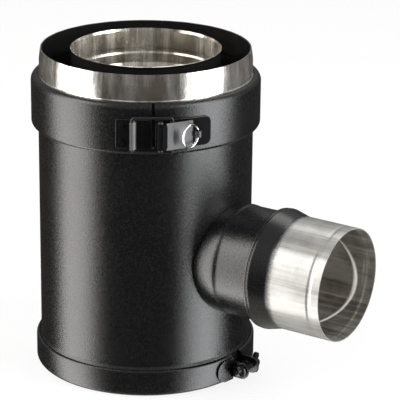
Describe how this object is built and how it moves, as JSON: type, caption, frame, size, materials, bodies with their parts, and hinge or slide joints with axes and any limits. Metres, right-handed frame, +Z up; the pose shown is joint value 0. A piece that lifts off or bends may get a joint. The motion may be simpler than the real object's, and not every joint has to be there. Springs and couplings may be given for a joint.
{
  "type": "stove pipe tee",
  "caption": "Double-wall stove pipe tee: black casing, stainless liner and collar, reduced branch, draw-latch band and screwed cap clamp",
  "frame": {"origin": "the point on the floor under the flue axis, in the plane the cap stands on", "axes": "+Z up along the flue axis, +X along the branch axis away from the flue, +Y to the left when looking along the branch from its mouth"},
  "size_m": [0.2456, 0.1598, 0.23],
  "materials": {
    "powder_coat": "fine satin powder coat",
    "stainless": "bright rolled sheet",
    "liner_stainless": "rolled sheet, slightly warm",
    "black_gloss": "gloss paint",
    "black_steel": "blackened",
    "grey_zinc": "dull zinc plate",
    "zinc_steel": "zinc plate",
    "nickel": "nickel plate"
  },
  "bodies": {
    "root": {"outer_casing": "powder_coat", "top_collar": "stainless", "liner": "liner_stainless", "branch_liner": "liner_stainless", "branch_neck": "powder_coat", "branch_spigot": "stainless", "upper_spacer_1": "liner_stainless", "upper_spacer_2": "liner_stainless", "upper_spacer_3": "liner_stainless", "lower_spacer_1": "liner_stainless", "lower_spacer_2": "liner_stainless", "lower_spacer_3": "liner_stainless", "cap_pan": "powder_coat", "cap_cup": "liner_stainless", "cap_rivets": "zinc_steel", "clamp_band": "powder_coat", "clamp_lug_left": "powder_coat", "clamp_lug_right": "powder_coat", "clamp_screw": "black_steel", "clamp_washer": "black_steel", "locking_band": "powder_coat", "strike_plate": "black_gloss", "strike_rivets": "black_steel", "latch_base": "black_gloss", "latch_base_rivets": "black_steel", "lever_pin": "zinc_steel"},
    "lever": {"latch_lever": "grey_zinc"},
    "bail": {"wire_bail": "black_steel"},
    "ring": {"split_ring": "nickel"},
    "nut": {"wing_nut": "black_steel"}
  },
  "joints": [
    {"name": "lever_swing", "type": "hinge", "parent": "root", "child": "lever", "pos_m": [0.05762, -0.06487, 0.1915], "axis": [0, 0, -1], "range_deg": [0, 90]},
    {"name": "bail_swing", "type": "hinge", "parent": "lever", "child": "bail", "pos_m": [0.06209, -0.05751, 0.1915], "axis": [0, 0, -1], "range_deg": [-64, 0]},
    {"name": "ring_swing", "type": "hinge", "parent": "lever", "child": "ring", "pos_m": [0.07336, -0.04418, 0.1915], "axis": [0, 0, 1], "range_deg": [-13, 150]},
    {"name": "wing_nut_turn", "type": "hinge", "parent": "root", "child": "nut", "pos_m": [0.087, 0.0105, 0.01], "axis": [0, 1, 0], "range_deg": [0, 360]}
  ],
  "couplings": [
    {"joint": "bail_swing", "follows": "lever_swing", "ratio": -0.7}
  ]
}
